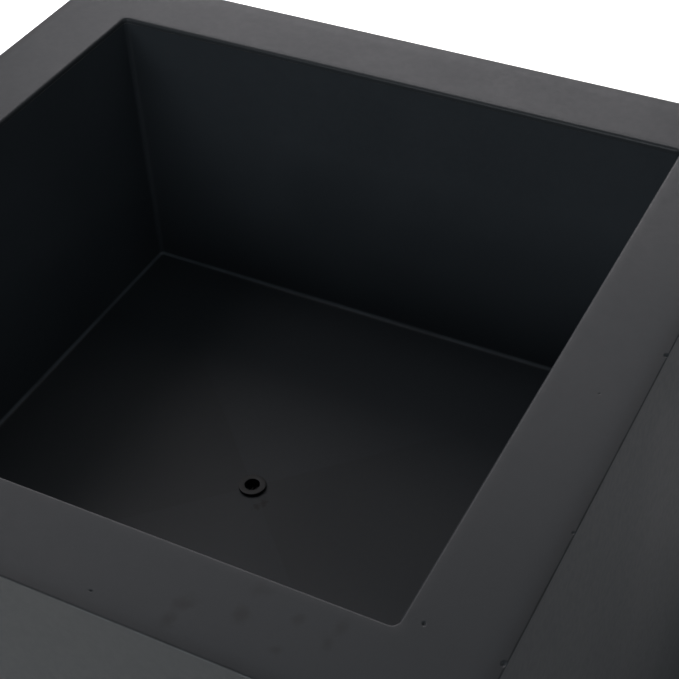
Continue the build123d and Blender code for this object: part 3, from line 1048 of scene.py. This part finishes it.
welded_on(frame_welds(), "base_frame")
for node in ("trestle_front", "trestle_back"):
    welded_on(trestle_welds(node), node)
    soften(node, 0.8 * MM)
soften("base_frame", 0.8 * MM)
soften("drain_washer", 0.3 * MM)
soften("drain_strainer", 0.2 * MM)
soften("drain_gasket", 0.2 * MM)
soften("heat_pads", 1.0 * MM)


# ---------------------------------------------------------------- stage, light, camera

def floor():
    """A plain pale floor."""
    size = 12.0
    corners = [(-size, -size, 0), (size, -size, 0), (size, size, 0), (-size, size, 0)]
    piece = new_object("studio_floor", corners, [(0, 1, 2, 3)])
    dress(piece, Shader("studio_floor", Base_Color=(0.86, 0.86, 0.86, 1), Roughness=0.9).material)


def softbox(name, at, aim, width, height, power, colour=(1, 1, 1)):
    """A rectangular area light that points at aim and isn't itself seen."""
    light = bpy.data.lights.new(name, "AREA")
    light.shape = "RECTANGLE"
    light.size, light.size_y = width, height
    light.energy = power
    light.color = colour
    lamp = bpy.data.objects.new(name, light)
    lamp.location = at
    lamp.rotation_euler = (Vector(aim) - Vector(at)).to_track_quat("-Z", "Y").to_euler()
    lamp.visible_camera = False
    bpy.context.scene.collection.objects.link(lamp)


def world(strength):
    """An even, dim surround."""
    made = bpy.data.worlds.new("studio")
    bpy.context.scene.world = made
    made.use_nodes = True
    made.node_tree.nodes["Background"].inputs["Color"].default_value = (1, 1, 1, 1)
    made.node_tree.nodes["Background"].inputs["Strength"].default_value = strength


def camera():
    """The camera, at the photograph's viewing angle."""
    lens = bpy.data.cameras.new("camera")
    lens.lens = 82.41
    lens.sensor_width = 36
    lens.clip_start = 0.01
    made = bpy.data.objects.new("camera", lens)
    at = Vector((0.6290, -0.9442, TOP + 0.8664))
    aim = Vector((0.1486, -0.0678, TOP))
    roll = Euler((0, 0, math.radians(-2.55)))
    level = (aim - at).to_track_quat("-Z", "Y")
    made.rotation_mode = "QUATERNION"
    made.rotation_quaternion = level @ roll.to_quaternion()
    made.location = at
    bpy.context.scene.collection.objects.link(made)
    bpy.context.scene.camera = made


# What most lights point at, and the lights' colours; the washes light only the floor
PIT = (0, 0, 0.5)
COOL = (0.92, 0.96, 1.0)
ROSE = (1.0, 0.965, 1.0)
WARM = (1.0, 0.97, 0.93)
floor()
world(0.02)
softbox("back_left", (-1.8, 3.8, 2.0), PIT, 2.6, 1.8, 39, ROSE)
softbox("back_middle", (-0.4, 3.8, 2.6), PIT, 1.6, 1.2, 6, ROSE)
softbox("far_left", (-3.6, 2.6, 1.5), PIT, 2.4, 2.4, 5, ROSE)
softbox("left_high", (-2.4, 0.4, 3.4), PIT, 1.4, 1.4, 11, ROSE)
softbox("left_behind", (-2.6, 1.8, 3.4), PIT, 1.4, 1.4, 9, ROSE)
softbox("overhead", (-1.2, 0.8, 3.8), PIT, 1.6, 1.6, 2.5, COOL)
softbox("right", (3.6, 0.2, 2.4), PIT, 1.8, 1.8, 13, COOL)
softbox("right_low", (3.4, 0.4, 1.3), PIT, 1.6, 0.7, 2, COOL)
softbox("front", (0.4, -3.6, 2.6), PIT, 1.8, 1.8, 10, COOL)
softbox("front_low", (-0.7, -3.6, 1.65), PIT, 1.4, 1.0, 28, COOL)
softbox("wash_front", (-0.5, -1.5, 0.55), (-0.5, -1.5, 0), 1.8, 0.9, 10.5, WARM)
softbox("wash_back", (0, 3.4, 3.6), (0, 3.4, 0), 5, 3, 8, WARM)
softbox("wash_beyond", (-0.9, 2.2, 2.2), (-0.9, 2.2, 0), 2.2, 2.2, 7, ROSE)
softbox("wash_behind", (-0.75, 1.45, 0.3), (-0.75, 1.45, 0), 1.7, 1.0, 17)
camera()
bpy.context.scene.view_settings.view_transform = "Standard"
